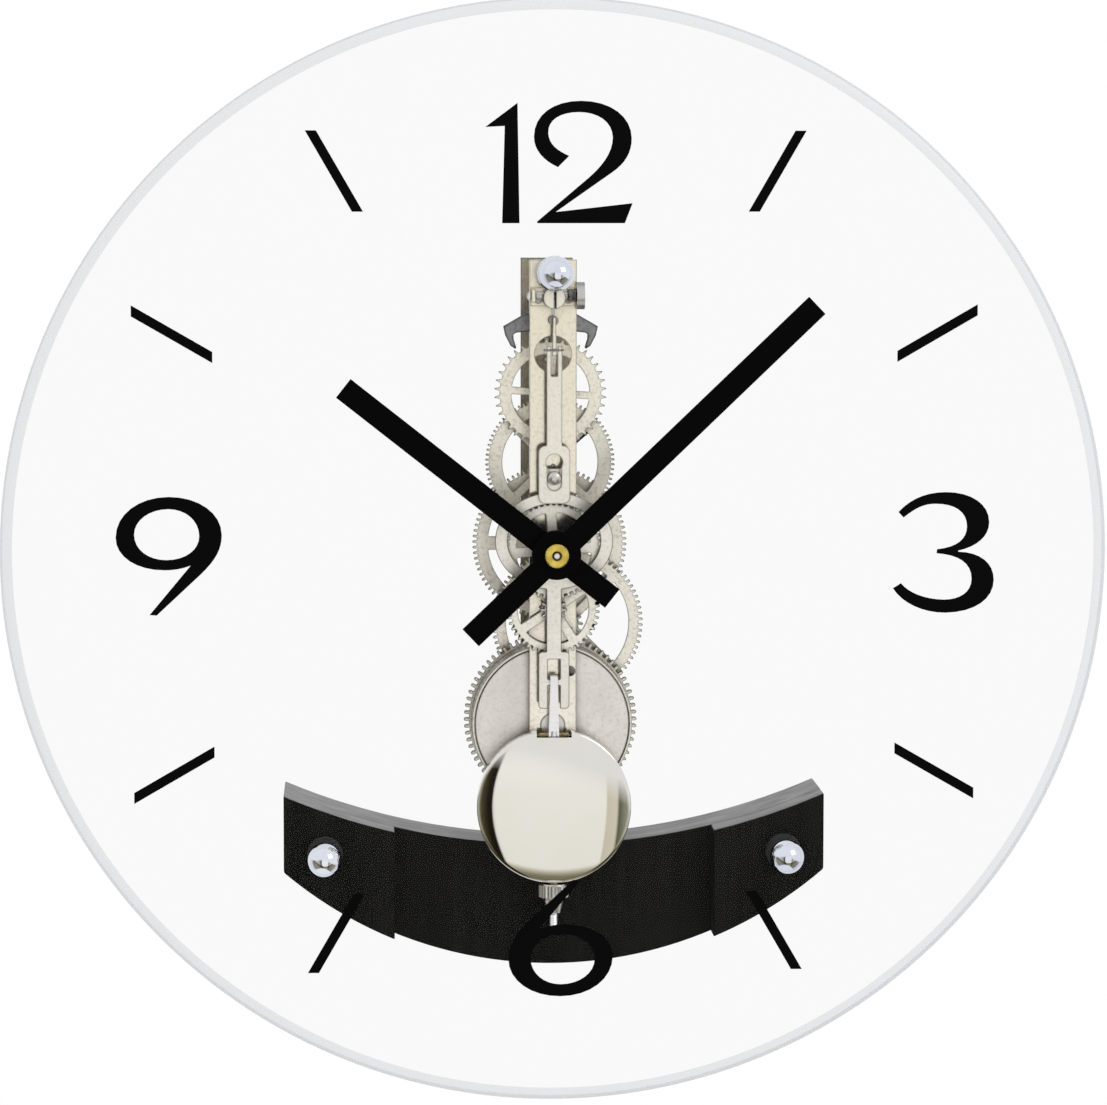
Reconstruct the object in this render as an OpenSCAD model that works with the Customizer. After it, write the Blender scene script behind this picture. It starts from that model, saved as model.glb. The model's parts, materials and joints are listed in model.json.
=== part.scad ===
// Regulator wall clock: a round glass dial on a narrow skeleton movement with a
// pendulum, carried by an arched wooden bracket.
// Front faces -y, the wall is at y = 0, and the origin is the hanging hole's centre.
// Every module draws round the dial's centre, and from_dial() puts it in its place.

/* [Dial] */
// Radius of the glass disc
dial_r = 160; // [140:1:180]
// Thickness of the glass
glass_t = 4; // [3:0.5:6]
// Distance from the wall to the front of the glass
glass_stand = 62; // [60:0.5:66]
// Width of the ground bevel round the rim
bevel_w = 3.6; // [1:0.1:6]
// Height of the numerals
numeral_h = 34.4; // [28:0.1:40]
// Thickness of the printed figures and marks
print_t = 0.15; // [0.05:0.05:0.4]
// Height of the hanging hole over the dial's centre
hang_rise = 78; // [76:0.5:80]

/* [Hands] */
// Minute hand from its axis to its tip
minute_len = 103.8; // [80:0.1:120]
// Tail of the minute hand
minute_tail = 34.3; // [10:0.1:40]
// Hour hand from its axis to its tip
hour_len = 77.9; // [50:0.1:90]
// Tail of the hour hand
hour_tail = 20.6; // [5:0.1:30]
// Width of both hands
hand_w = 6.8; // [4:0.1:9]
// Thickness of both hands
hand_t = 1; // [0.5:0.1:1.2]
// Clockwise angle of the minute hand from twelve
minute_angle = 46.2; // [0:0.1:360]
// Clockwise angle of the hour hand from twelve
hour_angle = 308.2; // [0:0.1:360]

/* [Movement] */
// Width of the front plate
plate_w = 13.8; // [12.4:0.1:14]
// Top of both plates over the dial's centre
plate_top = 84.7; // [84:0.1:90]
// Thickness of the front plate
front_plate_t = 2; // [1.5:0.1:2.5]
// Thickness of the rear plate
rear_plate_t = 4; // [3:0.1:4]
// Radius of the mainspring barrel
drum_r = 23.6; // [23:0.1:24]
// Drop of the barrel below the hands' axis
barrel_drop = 52.2; // [52:0.1:53]
// Height of the anchor's axis over the hands' axis
anchor_rise = 67; // [66.5:0.1:67.5]

/* [Pendulum] */
// Radius of the bob
bob_r = 22.6; // [20:0.1:24]
// Thickness of the bob
bob_t = 7.9; // [7.6:0.1:8]
// Drop of the bob's centre below the hands' axis
bob_drop = 75; // [74:0.1:76]
// Radius of the rating nut's knurled part
rating_nut_r = 4.5; // [3.5:0.1:5]

/* [Bracket] */
// Half the span of the arched board
arch_half = 79; // [75:0.5:90]
// Radius of the board's top edge
arch_top_r = 200; // [180:1:240]
// Radius of the board's bottom edge
arch_bottom_r = 121; // [115:1:130]
// Height of the board at its middle
arch_h = 35.6; // [30:0.1:40]
// Thickness of the board
arch_t = 18.5; // [17:0.5:18.5]
// Distance between the two dial studs
stud_span = 134; // [128:0.5:140]

/* [Hidden] */
$fn = 64;

// Levels in y, from the front to the wall
glass_front = -glass_stand;
glass_back = glass_front + glass_t;
washer_back = glass_back + 2;
board_front = washer_back + 9.5;
board_back = board_front + arch_t;
front_plate_y0 = glass_front + 16.2;
front_plate_y1 = front_plate_y0 + front_plate_t;
rear_plate_y1 = -6;
rear_plate_y0 = rear_plate_y1 - rear_plate_t;
pivot_end = rear_plate_y1 - 0.4;
great_y0 = glass_front + 29.5;
great_y1 = great_y0 + 2;
drum_y0 = great_y0 - 10;
second_y0 = great_y1 + 1.2;
third_y0 = second_y0 + 0.1;
centre_y0 = second_y0 + 2.3;
escape_y0 = third_y0 - 2.4;
wheel_t = 1;
minute_wheel_y0 = front_plate_y0 - 2.3;
minute_wheel_y1 = front_plate_y0 - 1.1;
hour_wheel_y0 = minute_wheel_y0 - 1.9;
hour_wheel_y1 = minute_wheel_y0 - 0.8;
leader_y0 = glass_front + 8.5;
leader_t = 1;
loop_y0 = leader_y0 + leader_t + 0.1;
loop_y1 = loop_y0 + leader_t;
rod_y = glass_front + 10.3;
rim_y = glass_front + 8.5;
hour_hand_y0 = glass_front - 2.3;
minute_hand_y0 = glass_front - 4.1;
nut_y0 = minute_hand_y0 - 2.4;

// Running clearance of a pivot or a pinion pipe, all round
fit = 0.05;

// Teeth: count and module of each meshing pair
escape_n = 40;
escape_tip_r = 16.6;
third_n = 80;
escape_pinion_n = 8;
third_m = 0.47;
centre_n = 84;
third_pinion_n = 7;
centre_m = 0.535;
second_n = 80;
centre_pinion_n = 8;
second_m = 0.55;
great_n = 76;
second_pinion_n = 12;
great_m = 0.66;
minute_n = 48;
cannon_n = 16;
minute_m = 0.5475;
hour_n = 48;
minute_pinion_n = 12;
hour_m = minute_m * (minute_n + cannon_n) / (hour_n + minute_pinion_n);

// Places of the arbors, x and z from the hands' axis
minute_drop = minute_m * (minute_n + cannon_n) / 2;
third_rise = centre_m * (centre_n + third_pinion_n) / 2;
escape_rise = third_rise + third_m * (third_n + escape_pinion_n) / 2;
second_gap = second_m * (second_n + centre_pinion_n) / 2;
great_gap = great_m * (great_n + second_pinion_n) / 2;
second_drop = (barrel_drop ^ 2 + second_gap ^ 2 - great_gap ^ 2) / (2 * barrel_drop);
second_x = sqrt(second_gap ^ 2 - second_drop ^ 2);

// Angles of the teeth, so that each pair meshes at rest
to_second = atan2(-second_drop, second_x);
from_second_to_barrel = atan2(second_drop - barrel_drop, -second_x);
third_phase = mate(0, escape_pinion_n, -90, third_n);
centre_phase = mate(0, third_pinion_n, -90, centre_n);
second_phase = mate(0, centre_pinion_n, to_second, second_n);
great_phase = mate(0, second_pinion_n, from_second_to_barrel, great_n);
minute_phase = mate(0, cannon_n, -90, minute_n);
hour_phase = mate(0, minute_pinion_n, 90, hour_n);

// Bracket
arch_low = -bob_drop - bob_r - 25.3;
arch_high = arch_low + arch_h;
block_start = 46.7;
stud_z = -88;
top_stud_z = 80.9;
block_top = arch_high - 5.4;
plate_foot = arch_low + 9;
rear_plate_w = plate_w + 1.8;
front_plate_foot = arch_high + 2.8;
pillar_r = 1.9;
tenon_r = 1.2;
pillar_x = 4.4;
stud_r = 2;
ball_r = 5;
stud_spots = [[-stud_span / 2, stud_z], [stud_span / 2, stud_z], [0, top_stud_z]];

// Top of the movement
post_z = 73.7;
pillar_spots = [for (x = [-pillar_x, pillar_x], z = [post_z - 0.5, -81.3]) [x, z]];
beat_z = 74.3;
beat_y = glass_front + 12.1;
bridge_y0 = front_plate_y0 - 1.2;
crutch_hub_y0 = leader_y0 + 3.1;

// Puts what is drawn round the dial's centre below the hanging hole
module from_dial() {
    translate([0, 0, -hang_rise]) children();
}

// Gives a flat shape, drawn as seen from the front, its depth from y0 to y1
module slab(y0, y1) {
    translate([0, y1, 0]) rotate([90, 0, 0]) linear_extrude(y1 - y0) children();
}

// A round bar along y
module bar(x, z, r, y0, y1) {
    translate([x, y1, z]) rotate([90, 0, 0]) cylinder(r = r, h = y1 - y0);
}

// A round bar along x
module across(x0, x1, y, z, r) {
    translate([x0, y, z]) rotate([0, 90, 0]) cylinder(r = r, h = x1 - x0);
}

// A turned shape whose axis runs along y through x and z, from points [radius, y]
module turned(x, z, points) {
    translate([x, 0, z]) rotate([-90, 0, 0]) rotate_extrude() polygon(points);
}

// A block between two corners
module block(low, high) {
    translate(low) cube(high - low);
}

function polar(r, a) = [r * cos(a), r * sin(a)];

// Angle of the teeth of a wheel that meshes with one at a known angle
function mate(phase, n, direction, other_n) =
    direction + 180 - 180 / other_n + (direction - phase) * n / other_n;

// Outline of a wheel or pinion: thick is a tooth's share of the pitch, add and ded are in modules
function gear_points(n, m, phase, thick, add, ded) =
    let (r = n * m / 2, h = thick * 180 / n)
    [for (k = [0:n - 1], p = [
        [r - ded * m, -h], [r, -h], [r + 0.6 * add * m, -0.8 * h], [r + add * m, -0.35 * h],
        [r + add * m, 0.35 * h], [r + 0.6 * add * m, 0.8 * h], [r, h], [r - ded * m, h]])
        polar(p[0], phase + 360 * k / n + p[1])];
function wheel_teeth(n, m, phase) = gear_points(n, m, phase, 0.46, 1, 1.3);
function pinion_leaves(n, m, phase) = gear_points(n, m, phase, 0.38, 0.8, 1.4);

// A toothed rim with spokes, a hub and a bore
module spoked(points, rim_in, hub_r, bore_r, spokes, spoke_w, spoke_phase) {
    difference() {
        union() {
            difference() {
                polygon(points);
                circle(rim_in);
            }
            circle(hub_r);
            for (k = [0:spokes - 1])
                rotate(spoke_phase + 360 * k / spokes)
                    translate([0, -spoke_w / 2]) square([rim_in + 0.4, spoke_w]);
        }
        circle(bore_r);
    }
}

// A pinion cut on its arbor, with a pivot at each end
module pinion_arbor(x, z, points, leaf_y0, leaf_y1, body_r, pivot_r) {
    translate([x, 0, z]) slab(leaf_y0, leaf_y1) polygon(points);
    bar(x, z, body_r, front_plate_y1 + 0.15, rear_plate_y0 - 0.15);
    bar(x, z, pivot_r, front_plate_y0 + 0.3, pivot_end);
}

// A hand: a straight bar with a round hub, pointing to a clockwise angle
module hand(length, tail, angle, bore_r, y0) {
    rotate([0, angle, 0])
        slab(y0, y0 + hand_t)
            difference() {
                union() {
                    translate([-hand_w / 2, -tail]) square([hand_w, length + tail]);
                    circle(7.1);
                }
                circle(bore_r);
            }
}

// One cubic curve, without its first point
function curve(a, b, c, d, steps = 8) =
    [for (i = [1:steps]) let (t = i / steps, s = 1 - t)
        s ^ 3 * a + 3 * s ^ 2 * t * b + 3 * s * t ^ 2 * c + t ^ 3 * d];

// The figures are drawn on a grid of 117 units to the numeral's height
grid = numeral_h / 117;
one_points = [[31.5, 117], [0, 93.5], [19, 94.5], [16.5, 0], [33.5, 0]];
two_points = concat(
    curve([71, 54.5], [56.5, 61], [47.5, 71.5], [47.5, 84]),
    curve([47.5, 84], [47.5, 105.5], [66.5, 119], [93.5, 119]),
    curve([93.5, 119], [122, 119], [143, 104], [143, 82.5]),
    curve([143, 82.5], [143, 69], [137, 58.5], [124, 49.5]),
    [[69, 11], [144, 19.5], [136.5, 0], [51, 0], [50.5, 1.5], [96, 40]],
    curve([96, 40], [114, 54.5], [124.5, 68.5], [124.5, 83.5]),
    curve([124.5, 83.5], [124, 99.5], [109, 108], [91.5, 108]),
    curve([91.5, 108], [73.5, 108], [61, 100.5], [61.5, 88]),
    curve([61.5, 88], [62, 76.5], [70.5, 70.5], [82, 65.5]),
    [[71, 54.5]]);
three_points = concat(
    [[5, 100], [10, 94.5]],
    curve([10, 94.5], [22, 104], [30, 108], [41.5, 108]),
    curve([41.5, 108], [61, 108], [73, 100], [73, 85.5]),
    curve([73, 85.5], [73, 73], [63.5, 65], [43.5, 63]),
    [[43, 59]],
    curve([43, 59], [64.5, 57.5], [78, 49.5], [78, 33.5]),
    curve([78, 33.5], [78, 20.5], [67, 13], [50.5, 13]),
    curve([50.5, 13], [31.5, 13.5], [15.5, 20], [8, 29.5]),
    [[0, 24.5]],
    curve([0, 24.5], [9.5, 9.5], [30, 0], [52.5, 0]),
    curve([52.5, 0], [81, 0.5], [100, 13], [100, 32.5]),
    curve([100, 32.5], [100, 49.5], [86, 60], [64.5, 60.5]),
    [[64.5, 61.5]],
    curve([64.5, 61.5], [83, 65.5], [95, 75.5], [95, 89.5]),
    curve([95, 89.5], [95, 107.5], [77, 119.5], [52, 119.5]),
    curve([52, 119.5], [31.5, 119.5], [16.5, 112.5], [5, 100], 7));
nine_points = concat(
    [[32.5, 0.5], [39.5, 0], [83, 40.5]],
    curve([83, 40.5], [97.5, 54.5], [103.5, 65], [103.5, 79]),
    curve([103.5, 79], [103.5, 100.5], [81, 116.5], [52, 116.5]),
    curve([52, 116.5], [22.5, 116.5], [0, 99.5], [0, 76.5]),
    curve([0, 76.5], [0, 58], [20, 44.5], [47.5, 44.5]),
    curve([47.5, 44.5], [57.5, 44.5], [65, 46], [73, 49]));
nine_eye = concat(
    curve([51.5, 104.5], [68, 104.5], [81.5, 93.5], [81.5, 78]),
    curve([81.5, 78], [81.5, 64.5], [68, 54.5], [49.5, 54.5]),
    curve([49.5, 54.5], [31.5, 54.5], [18, 65], [18, 79.5]),
    curve([18, 79.5], [18, 93.5], [33, 104.5], [51.5, 104.5]));

module nine_shape() {
    difference() {
        polygon(grid * nine_points);
        polygon(grid * nine_eye);
    }
}

module numerals() {
    color("black") from_dial() slab(glass_front - print_t, glass_front) {
        translate([-20.4, 95.4]) {
            polygon(grid * one_points);
            polygon(grid * two_points);
        }
        translate([97.9, -17.5]) polygon(grid * three_points);
        translate([-126.7, -17.3]) nine_shape();
        translate([16.7, -95.1]) rotate(180) nine_shape();
    }
}

// Slanted bars at the eight hours without a figure
mark_points = [[68.8, 121.9], [72, 121.9], [58.6, 98.7], [55.4, 98.7]];
module hour_marks() {
    color("black") from_dial() slab(glass_front - print_t, glass_front)
        for (sx = [-1, 1], sz = [-1, 1])
            flipped(sx, sz) {
                polygon(mark_points);
                polygon([for (p = mark_points) [p[1], p[0]]]);
            }
}

// Mirrors a flat shape left to right, top to bottom, or both
module flipped(sx, sz) {
    mirror([sx < 0 ? 1 : 0, 0]) mirror([0, sz < 0 ? 1 : 0]) children();
}

module glass_dial() {
    color("lightcyan") from_dial() difference() {
        turned(0, 0, [[0, glass_back], [dial_r, glass_back], [dial_r, glass_front + 1.2],
            [dial_r - bevel_w, glass_front], [0, glass_front]]);
        bar(0, 0, 4.2, glass_front - 1, glass_back + 1);
        for (p = stud_spots)
            bar(p[0], p[1], stud_r + 0.5, glass_front - 1, glass_back + 1);
    }
}

module ball_nuts() {
    color("silver") from_dial() for (p = stud_spots) difference() {
        union() {
            translate([p[0], glass_front - 4.4, p[1]]) sphere(ball_r);
            bar(p[0], p[1], 3.2, glass_front - 1.2, glass_front);
        }
        bar(p[0], p[1], stud_r + fit, glass_front - 4, glass_front + 1);
    }
}

module ball_studs() {
    color("silver") from_dial() for (p = stud_spots)
        bar(p[0], p[1], stud_r, glass_front - 3.9,
            p[0] == 0 ? front_plate_y1 : board_front + 7);
}

module glass_washers() {
    color("gainsboro") from_dial() for (p = stud_spots) difference() {
        bar(p[0], p[1], 5.2, glass_back, washer_back);
        bar(p[0], p[1], stud_r + 0.1, glass_back - 1, washer_back + 1);
    }
}

module stud_sleeve() {
    color("silver") from_dial() difference() {
        bar(0, top_stud_z, 3.2, washer_back, front_plate_y0);
        bar(0, top_stud_z, stud_r + 0.1, washer_back - 1, front_plate_y0 + 1);
    }
}

// Front view of the whole board, its lower corners rounded
corner_r = 1.5;
corner_drop = sqrt((arch_bottom_r - corner_r) ^ 2 - (arch_half - corner_r) ^ 2);
module arch_shape() {
    difference() {
        intersection() {
            translate([0, arch_low + arch_bottom_r]) circle(arch_bottom_r);
            translate([-arch_half, -130]) square([2 * arch_half, 70]);
        }
        translate([0, arch_high + arch_top_r]) circle(arch_top_r);
        for (side = [0, 1])
            mirror([side, 0])
                translate([arch_half - corner_r, arch_low + arch_bottom_r - corner_drop])
                    difference() {
                        polygon([[0, 0], [2, 0], [2, -3],
                            2 * [arch_half - corner_r, -corner_drop] / (arch_bottom_r - corner_r)]);
                        circle(corner_r);
                    }
    }
}

module stud_holes(y0, y1) {
    for (x = [-1, 1])
        bar(x * stud_span / 2, stud_z, stud_r + fit, y0, y1);
}

module arch_board() {
    color("black") from_dial() difference() {
        slab(board_front, board_back) arch_shape();
        stud_holes(board_front - 1, board_front + 7.2);
        for (x = [-1, 1])
            bar(x * 14, -103, 1.6, board_back - 8, board_back + 1);
    }
}

module end_block(side) {
    difference() {
        slab(washer_back, board_front) intersection() {
            arch_shape();
            translate([side > 0 ? block_start : -arch_half, -130])
                square([arch_half - block_start, 70]);
        }
        stud_holes(washer_back - 1, board_front + 1);
    }
}

module left_end_block() {
    color("black") from_dial() end_block(-1);
}

module right_end_block() {
    color("black") from_dial() end_block(1);
}

module spacer_block() {
    color("dimgray") from_dial() difference() {
        block([-30, board_back, -117], [30, -5, block_top]);
        block([-rear_plate_w / 2 - 0.1, rear_plate_y0, -118], [rear_plate_w / 2 + 0.1, 0, -80]);
        for (x = [-1, 1]) {
            bar(x * 14, -103, 1.6, board_back - 1, 0);
            bar(x * 14, -103, 3.2, -7, 0);
        }
        for (z = [-98, -109])
            bar(0, z, 1.2, rear_plate_y0 - 9, rear_plate_y0 + 1);
    }
}

module block_screws() {
    color("silver") from_dial() for (x = [-1, 1]) difference() {
        union() {
            bar(x * 14, -103, 1.5, board_back - 7, -7);
            bar(x * 14, -103, 3, -7, -5.4);
        }
        block([x * 14 - 2.4, -6, -103.3], [x * 14 + 2.4, -5, -102.7]);
    }
}

module wall_pads() {
    color("darkslategray") from_dial() for (x = [-1, 1])
        bar(x * 23, -103, 5.5, -5, 0);
}

module plate_screws() {
    color("silver") from_dial() for (z = [-98, -109]) difference() {
        union() {
            bar(0, z, 1.1, rear_plate_y0 - 8, rear_plate_y1);
            bar(0, z, 2.2, rear_plate_y1, rear_plate_y1 + 1.5);
        }
        block([-1.8, rear_plate_y1 + 0.9, z - 0.25], [1.8, 0, z + 0.25]);
    }
}

module front_plate() {
    color("antiquewhite") from_dial() difference() {
        block([-plate_w / 2, front_plate_y0, front_plate_foot],
            [plate_w / 2, front_plate_y1, plate_top]);
        for (h = concat([
            [0, 57.1, 5.4], [0, 0, 1.3 + fit], [0, -barrel_drop, 3.6], [5.1, -36.1, 1.45],
            [second_x, -second_drop, 0.5 + fit], [0, third_rise, 0.5 + fit],
            [0, escape_rise, 0.5 + fit], [0, anchor_rise, 0.9 + fit], [0, top_stud_z, stud_r],
            [0, -minute_drop, 0.8]], [for (p = pillar_spots) [p[0], p[1], tenon_r]]))
            bar(h[0], h[1], h[2], front_plate_y0 - 1, front_plate_y1 + 1);
    }
}

module rear_plate() {
    color("antiquewhite") from_dial() difference() {
        block([-rear_plate_w / 2, rear_plate_y0, plate_foot],
            [rear_plate_w / 2, rear_plate_y1, plate_top]);
        for (h = concat([
            [0, 0, 0.7 + fit], [0, -barrel_drop, 2.5 + fit], [click_pivot[0], click_pivot[1], 0.9],
            [click_stud[0], click_stud[1], 0.6],
            [second_x, -second_drop, 0.5 + fit], [0, third_rise, 0.5 + fit],
            [0, escape_rise, 0.5 + fit], [0, anchor_rise, 0.9 + fit], [0, -98, 1.15],
            [0, -109, 1.15], [0, 54, 0.95], [0, 60, 0.95]],
            [for (p = pillar_spots) [p[0], p[1], 0.95]]))
            bar(h[0], h[1], h[2], rear_plate_y0 - 1, rear_plate_y1 + 1);
    }
}

module pillars() {
    color("silver") from_dial() for (p = pillar_spots) difference() {
        union() {
            bar(p[0], p[1], tenon_r, p[1] > 0 ? bridge_y0 : front_plate_y0, front_plate_y1);
            bar(p[0], p[1], pillar_r, front_plate_y1, rear_plate_y0);
        }
        bar(p[0], p[1], 0.95, rear_plate_y0 - 6, rear_plate_y0 + 1);
    }
}

module pillar_screws() {
    color("silver") from_dial() for (p = pillar_spots) difference() {
        union() {
            bar(p[0], p[1], 0.9, rear_plate_y0 - 5, rear_plate_y1);
            bar(p[0], p[1], 1.6, rear_plate_y1, rear_plate_y1 + 1.2);
        }
        block([p[0] - 1.3, rear_plate_y1 + 0.7, p[1] - 0.2], [p[0] + 1.3, 0, p[1] + 0.2]);
    }
}

// Joggled strap: its upper leg lies on the wall, its lower leg on the rear plate
module hanger_strap() {
    color("silver") from_dial() difference() {
        union() {
            block([-6, -1.5, 64.5], [6, 0, 84]);
            block([-6, rear_plate_y1, 63], [6, 0, 64.5]);
            block([-6, rear_plate_y1, 50], [6, rear_plate_y1 + 1.5, 63]);
        }
        bar(0, hang_rise, 3, -3, 1);
        for (z = [54, 60])
            bar(0, z, 0.95, rear_plate_y1 - 1, rear_plate_y1 + 2);
    }
}

module hanger_screws() {
    color("silver") from_dial() for (z = [54, 60]) difference() {
        union() {
            bar(0, z, 0.9, rear_plate_y0 + 0.5, rear_plate_y1 + 1.5);
            bar(0, z, 1.7, rear_plate_y1 + 1.5, rear_plate_y1 + 2.7);
        }
        block([-1.4, rear_plate_y1 + 2.2, z - 0.2], [1.4, 0, z + 0.2]);
    }
}

// Bridge on the front plate that guides the suspension post sideways
module beat_bridge() {
    color("antiquewhite") from_dial() difference() {
        union() {
            block([-6.6, bridge_y0, 71.2], [6.2, front_plate_y0, 76.6]);
            block([-6.6, beat_y - 1.9, 72.4], [-5.4, bridge_y0 + 0.1, 76.2]);
        }
        block([-3.15, front_plate_y0 - 0.65, post_z - 2.1],
            [3.15, front_plate_y0 + 1, post_z + 2.1]);
        block([-2.1, bridge_y0 - 1, post_z - 1.6], [2.1, front_plate_y0, post_z + 1.6]);
        for (x = [-1, 1])
            bar(x * pillar_x, post_z - 0.5, tenon_r, bridge_y0 - 1, front_plate_y0 + 1);
        across(-8, -4, beat_y, beat_z, 0.8 + fit);
    }
}

// Slotted post that holds the top of the suspension spring
module suspension_post() {
    color("wheat") from_dial() difference() {
        union() {
            bar(0, post_z, 3.2, glass_front + 8.6, bridge_y0 - 0.05);
            bar(0, post_z, 1.5, front_plate_y0 - 1.3, front_plate_y0 - 0.6);
            block([-2.6, front_plate_y0 - 0.6, post_z - 2], [2.6, front_plate_y0 - 0.05, post_z + 2]);
        }
        block([-0.1, glass_front + 8, post_z - 4], [0.5, glass_front + 14, post_z + 1.8]);
        across(-5, 5, beat_y, beat_z, 1 + fit);
    }
}

module suspension_spring() {
    color("slategray") from_dial()
        block([-0.1, glass_front + 9.4, anchor_rise + crutch_top + 0.05],
            [0.1, glass_front + 11.2, post_z - 0.6]);
}

// Thumbscrew that moves the post and so sets the clock in beat
module beat_screw() {
    color("silver") from_dial() translate([0, beat_y, beat_z]) rotate([0, 90, 0]) {
        translate([0, 0, -7]) cylinder(r = 1.3, h = 0.35);
        translate([0, 0, -6.9]) cylinder(r = 0.8, h = 2);
        translate([0, 0, -5.3]) cylinder(r = 1, h = 10);
        for (k = [0:4])
            translate([0, 0, 4.1 + 0.5 * k]) rotate_extrude()
                polygon([[0, 0], [1.65, 0], [1.95, 0.25], [1.65, 0.5], [0, 0.5]]);
        translate([0, 0, 6.6]) linear_extrude(2.3) knurl(3.95, 0.28, 30);
    }
}

// A knurled round: points between the full radius and a little less
module knurl(r, depth, n) {
    polygon([for (k = [0:2 * n - 1]) polar(r - (k % 2) * depth, 180 * k / n)]);
}

// Pallet anchor: two hooked arms that reach down to the escape wheel
anchor_half = [[2.6, 3.1], [7.4, 1.6], [14, -2.2], [13.4, -4.9], [11.8, -8],
    [10.5, -8.87], [10.15, -8.52], [10.95, -6], [11, -4.6], [10.2, -4.1], [7.6, -3.8],
    [2.6, -2.9]];
module anchor() {
    color("dimgray") from_dial() translate([0, 0, anchor_rise])
        slab(escape_y0 - 0.7, escape_y0 + 1.7) difference() {
            polygon(concat(anchor_half, [for (p = backwards(anchor_half)) [-p[0], p[1]]]));
            circle(0.9);
        }
}

module anchor_arbor() {
    color("silver") from_dial()
        bar(0, anchor_rise, 0.9, crutch_hub_y0, pivot_end);
}

// Blade on the anchor's arbor that reaches down between the fork's prongs
crutch_top = 1.2;
module crutch() {
    color("wheat") from_dial() difference() {
        union() {
            bar(0, anchor_rise, 1.4, crutch_hub_y0, front_plate_y0 - 1.5);
            block([-0.4, leader_y0 + 2, anchor_rise - 1.1],
                [0.4, crutch_hub_y0 + 0.1, anchor_rise + 1.1]);
            translate([0, 0, anchor_rise]) slab(leader_y0 + 0.1, leader_y0 + 2.1)
                polygon([[-0.4, crutch_top], [0.4, crutch_top], [0.65, -10.1], [-0.65, -10.1]]);
        }
        bar(0, anchor_rise, 0.9, crutch_hub_y0, front_plate_y0);
        pin();
    }
}

pin_z = 58.6;
module pin() {
    across(-3.1, 2.7, leader_y0 + 0.5, pin_z, 0.3);
}

module fork_pin() {
    color("silver") from_dial() pin();
}

// A flat rectangle with round corners
module tab(x0, z0, w, h, r) {
    translate([x0 + r, z0]) square([w - 2 * r, h]);
    translate([x0, z0 + r]) square([w, h - 2 * r]);
    for (x = [x0 + r, x0 + w - r], z = [z0 + r, z0 + h - r])
        translate([x, z]) circle(r);
}

// Upper part of the pendulum: a fork, a bar and a tab with a keyhole in a shallow pocket
keyhole_z = 25.9;
stud_seat_z = 21.3;
slot_r = 1.6;
pocket_r = 2.1;
pocket_z = 19.8;
module pendulum_leader() {
    color("antiquewhite") from_dial() difference() {
        slab(leader_y0, leader_y0 + leader_t) difference() {
            union() {
                translate([-2.25, 30]) square([4.5, 29.7]);
                tab(-4.6, 13.9, 9.2, 16.9, 2);
            }
            translate([-0.95, 51]) square([1.9, 10]);
            translate([0, keyhole_z]) circle(2.45);
            translate([-slot_r, stud_seat_z]) square([2 * slot_r, keyhole_z - stud_seat_z]);
            translate([0, stud_seat_z]) circle(slot_r);
        }
        slab(leader_y0 - 1, leader_y0 + leader_t / 2) {
            translate([-pocket_r, pocket_z]) square([2 * pocket_r, keyhole_z - pocket_z]);
            translate([0, pocket_z]) circle(pocket_r);
        }
        pin();
    }
}

// Points on an oval
function oval(rx, rz, n) = [for (k = [0:n - 1]) [rx * cos(360 * k / n), rz * sin(360 * k / n)]];

// Lower part of the pendulum: an oval round the hands' axis, a bar and a hooked tab
loop_z = 2.9;
module pendulum_loop() {
    color("antiquewhite") from_dial() slab(loop_y0, loop_y1) difference() {
        union() {
            translate([0, loop_z]) polygon(oval(17.2, 14.2, 72));
            translate([-3.4, 12]) square([6.8, 12.1]);
            translate([-2.2, -30]) square([4.4, 22]);
            tab(-4.5, -46.3, 9, 16.7, 1);
        }
        translate([0, loop_z]) polygon(oval(13.6, 10.9, 72));
        translate([0, stud_seat_z]) circle(1.2);
        translate([-1.83, -37.7]) square([3.66, 5.9]);
        translate([-1.83, -47]) square([3.66, 7.5]);
    }
}

module loop_stud() {
    color("silver") from_dial()
        turned(0, stud_seat_z, [[0, loop_y1 + 0.3], [1.7, loop_y1 + 0.3], [1.7, loop_y1],
            [1.2, loop_y1], [1.2, loop_y0], [slot_r - fit, loop_y0],
            [slot_r - fit, leader_y0 + 0.45], [1.95, leader_y0 + 0.45], [1.95, leader_y0 - 0.2],
            [1.8, leader_y0 - 0.6], [1.35, leader_y0 - 0.95], [0.7, leader_y0 - 1.15],
            [0, leader_y0 - 1.2]]);
}

// Hook and rod: hangs on the tab's crossbar and carries the bob on its thread
rod_r = 1.24;
module pendulum_rod() {
    color("silver") from_dial() {
        slab(leader_y0 + 0.1, leader_y0 + 1)
            polygon([[-1.06, -36.8], [1.06, -36.8], [1.41, -50.2], [-1.41, -50.2]]);
        slab(leader_y0 + 0.1, rod_y + 0.1)
            polygon([[-1.39, -49.3], [1.39, -49.3], [1.41, -50.2], [-1.41, -50.2]]);
        slab(rod_y - 0.88, rod_y + 0.1)
            polygon([[-1.41, -50.1], [1.41, -50.1], [1.55, -54.6], [-1.55, -54.6]]);
        block([-1.06, leader_y0 + 0.1, -37.6], [1.06, loop_y1 + 1.1, -36.8]);
        block([-1.06, loop_y1 + 0.1, -42], [1.06, loop_y1 + 1.1, -36.8]);
        translate([0, rod_y, -111.3]) cylinder(r = rod_r, h = 58.3);
        for (k = [0:7])
            translate([0, rod_y, -111 + 0.5 * k]) rotate_extrude()
                polygon([[0, 0], [rod_r, 0], [rod_r + 0.16, 0.25], [rod_r, 0.5], [0, 0.5]]);
    }
}

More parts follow.
